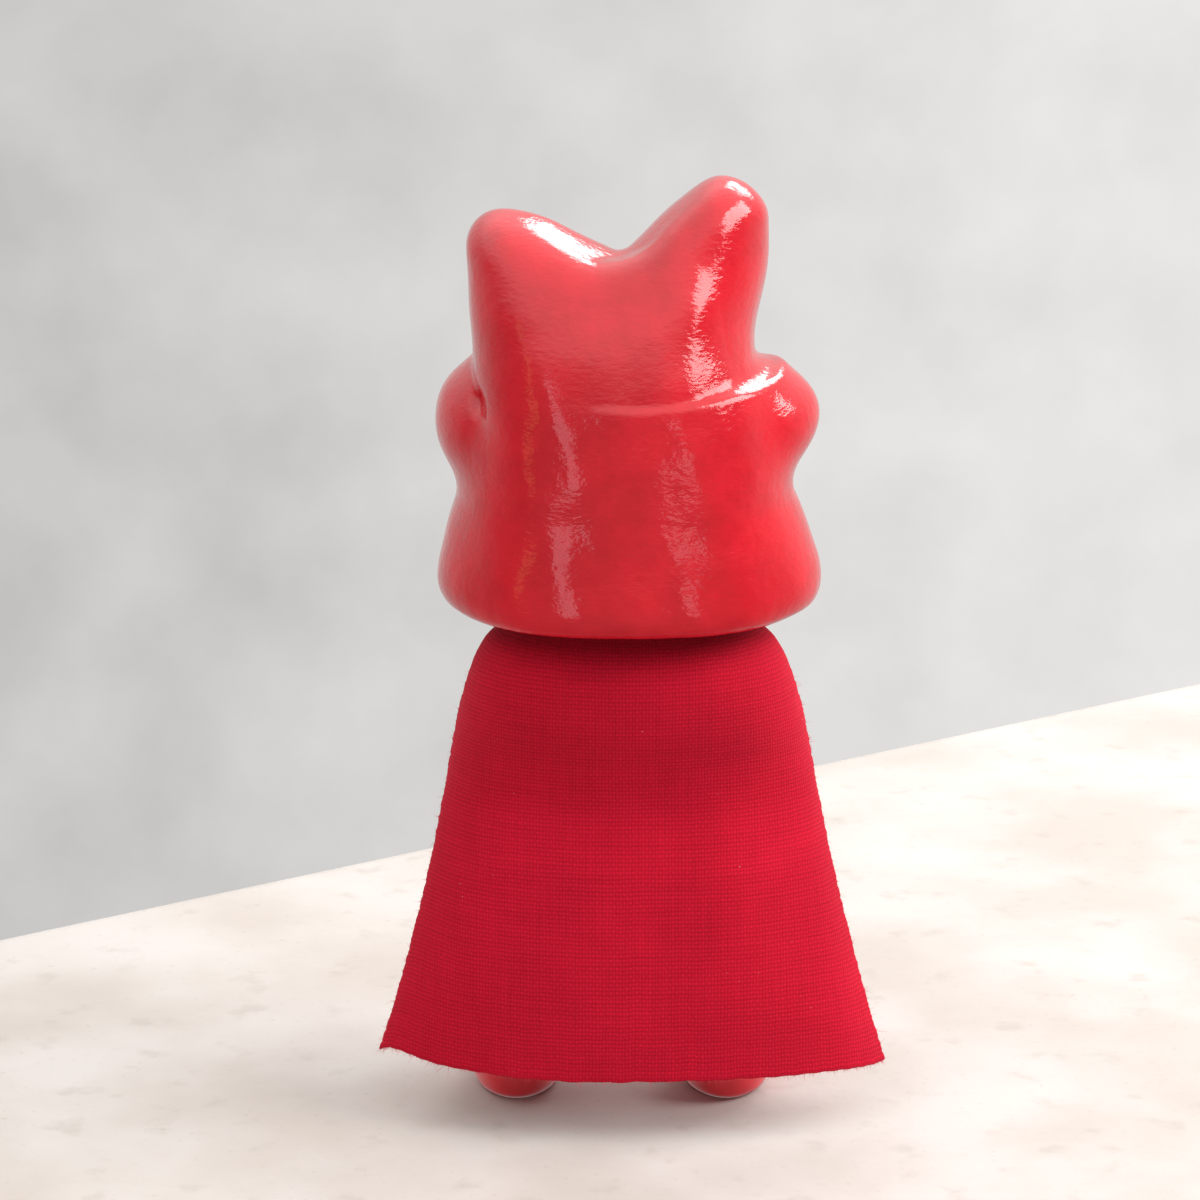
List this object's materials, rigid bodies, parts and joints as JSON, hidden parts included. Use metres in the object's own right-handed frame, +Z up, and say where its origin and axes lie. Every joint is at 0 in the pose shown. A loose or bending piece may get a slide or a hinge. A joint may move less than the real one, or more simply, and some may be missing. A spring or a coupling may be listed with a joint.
{
  "type": "figurine",
  "caption": "Small standing eared figurine in gloss red with a turning head, swinging arms, turning legs and a cloth cape.",
  "frame": {"origin": "on the floor, in the middle of the object's box in plan", "axes": "+Z up, the face looks along +Y, the cape hangs towards -Y"},
  "size_m": [0.0632, 0.0459, 0.1153],
  "materials": {
    "gloss_red_paint": "thick wet-look gloss enamel over cast vinyl",
    "limb_red_paint": "gloss enamel, a little deeper and softer",
    "face_paint": "satin enamel",
    "eye_gloss": "polished dark resin",
    "cape_cotton": "plain-weave cotton with raw frayed edges",
    "tie_thread": "twisted waxed cotton thread",
    "peg_nylon": "natural moulded nylon",
    "washer_felt": "pressed wool felt"
  },
  "bodies": {
    "torso": {"torso": "limb_red_paint", "neck_peg": "peg_nylon", "neck_washer": "washer_felt", "left_shoulder_peg": "peg_nylon", "right_shoulder_peg": "peg_nylon", "left_hip_peg": "peg_nylon", "right_hip_peg": "peg_nylon", "cape": "cape_cotton", "cape_collar": "cape_cotton", "cape_tie": "tie_thread", "tie_knot": "tie_thread"},
    "head": {"head_shell": "gloss_red_paint", "face_plate": "face_paint", "left_eye": "eye_gloss", "right_eye": "eye_gloss", "nose": "eye_gloss", "neck_plate": "peg_nylon"},
    "left_arm": {"left_arm": "limb_red_paint"},
    "right_arm": {"right_arm": "limb_red_paint"},
    "left_leg": {"left_leg": "limb_red_paint"},
    "right_leg": {"right_leg": "limb_red_paint"}
  },
  "joints": [
    {"name": "head_turn", "type": "hinge", "parent": "torso", "child": "head", "pos_m": [0, 0, 0.0684], "axis": [0, 0, 1], "continuous": true},
    {"name": "left_arm_swing", "type": "hinge", "parent": "torso", "child": "left_arm", "pos_m": [-0.0124, 0, 0.051], "axis": [1, 0, 0], "range_deg": [-8, 95]},
    {"name": "right_arm_swing", "type": "hinge", "parent": "torso", "child": "right_arm", "pos_m": [0.0124, 0, 0.051], "axis": [1, 0, 0], "range_deg": [-8, 95]},
    {"name": "left_leg_turn", "type": "hinge", "parent": "torso", "child": "left_leg", "pos_m": [-0.0083, 0, 0.016], "axis": [0, 0, 1], "range_deg": [-20, 20]},
    {"name": "right_leg_turn", "type": "hinge", "parent": "torso", "child": "right_leg", "pos_m": [0.0083, 0, 0.016], "axis": [0, 0, 1], "range_deg": [-20, 20]}
  ]
}
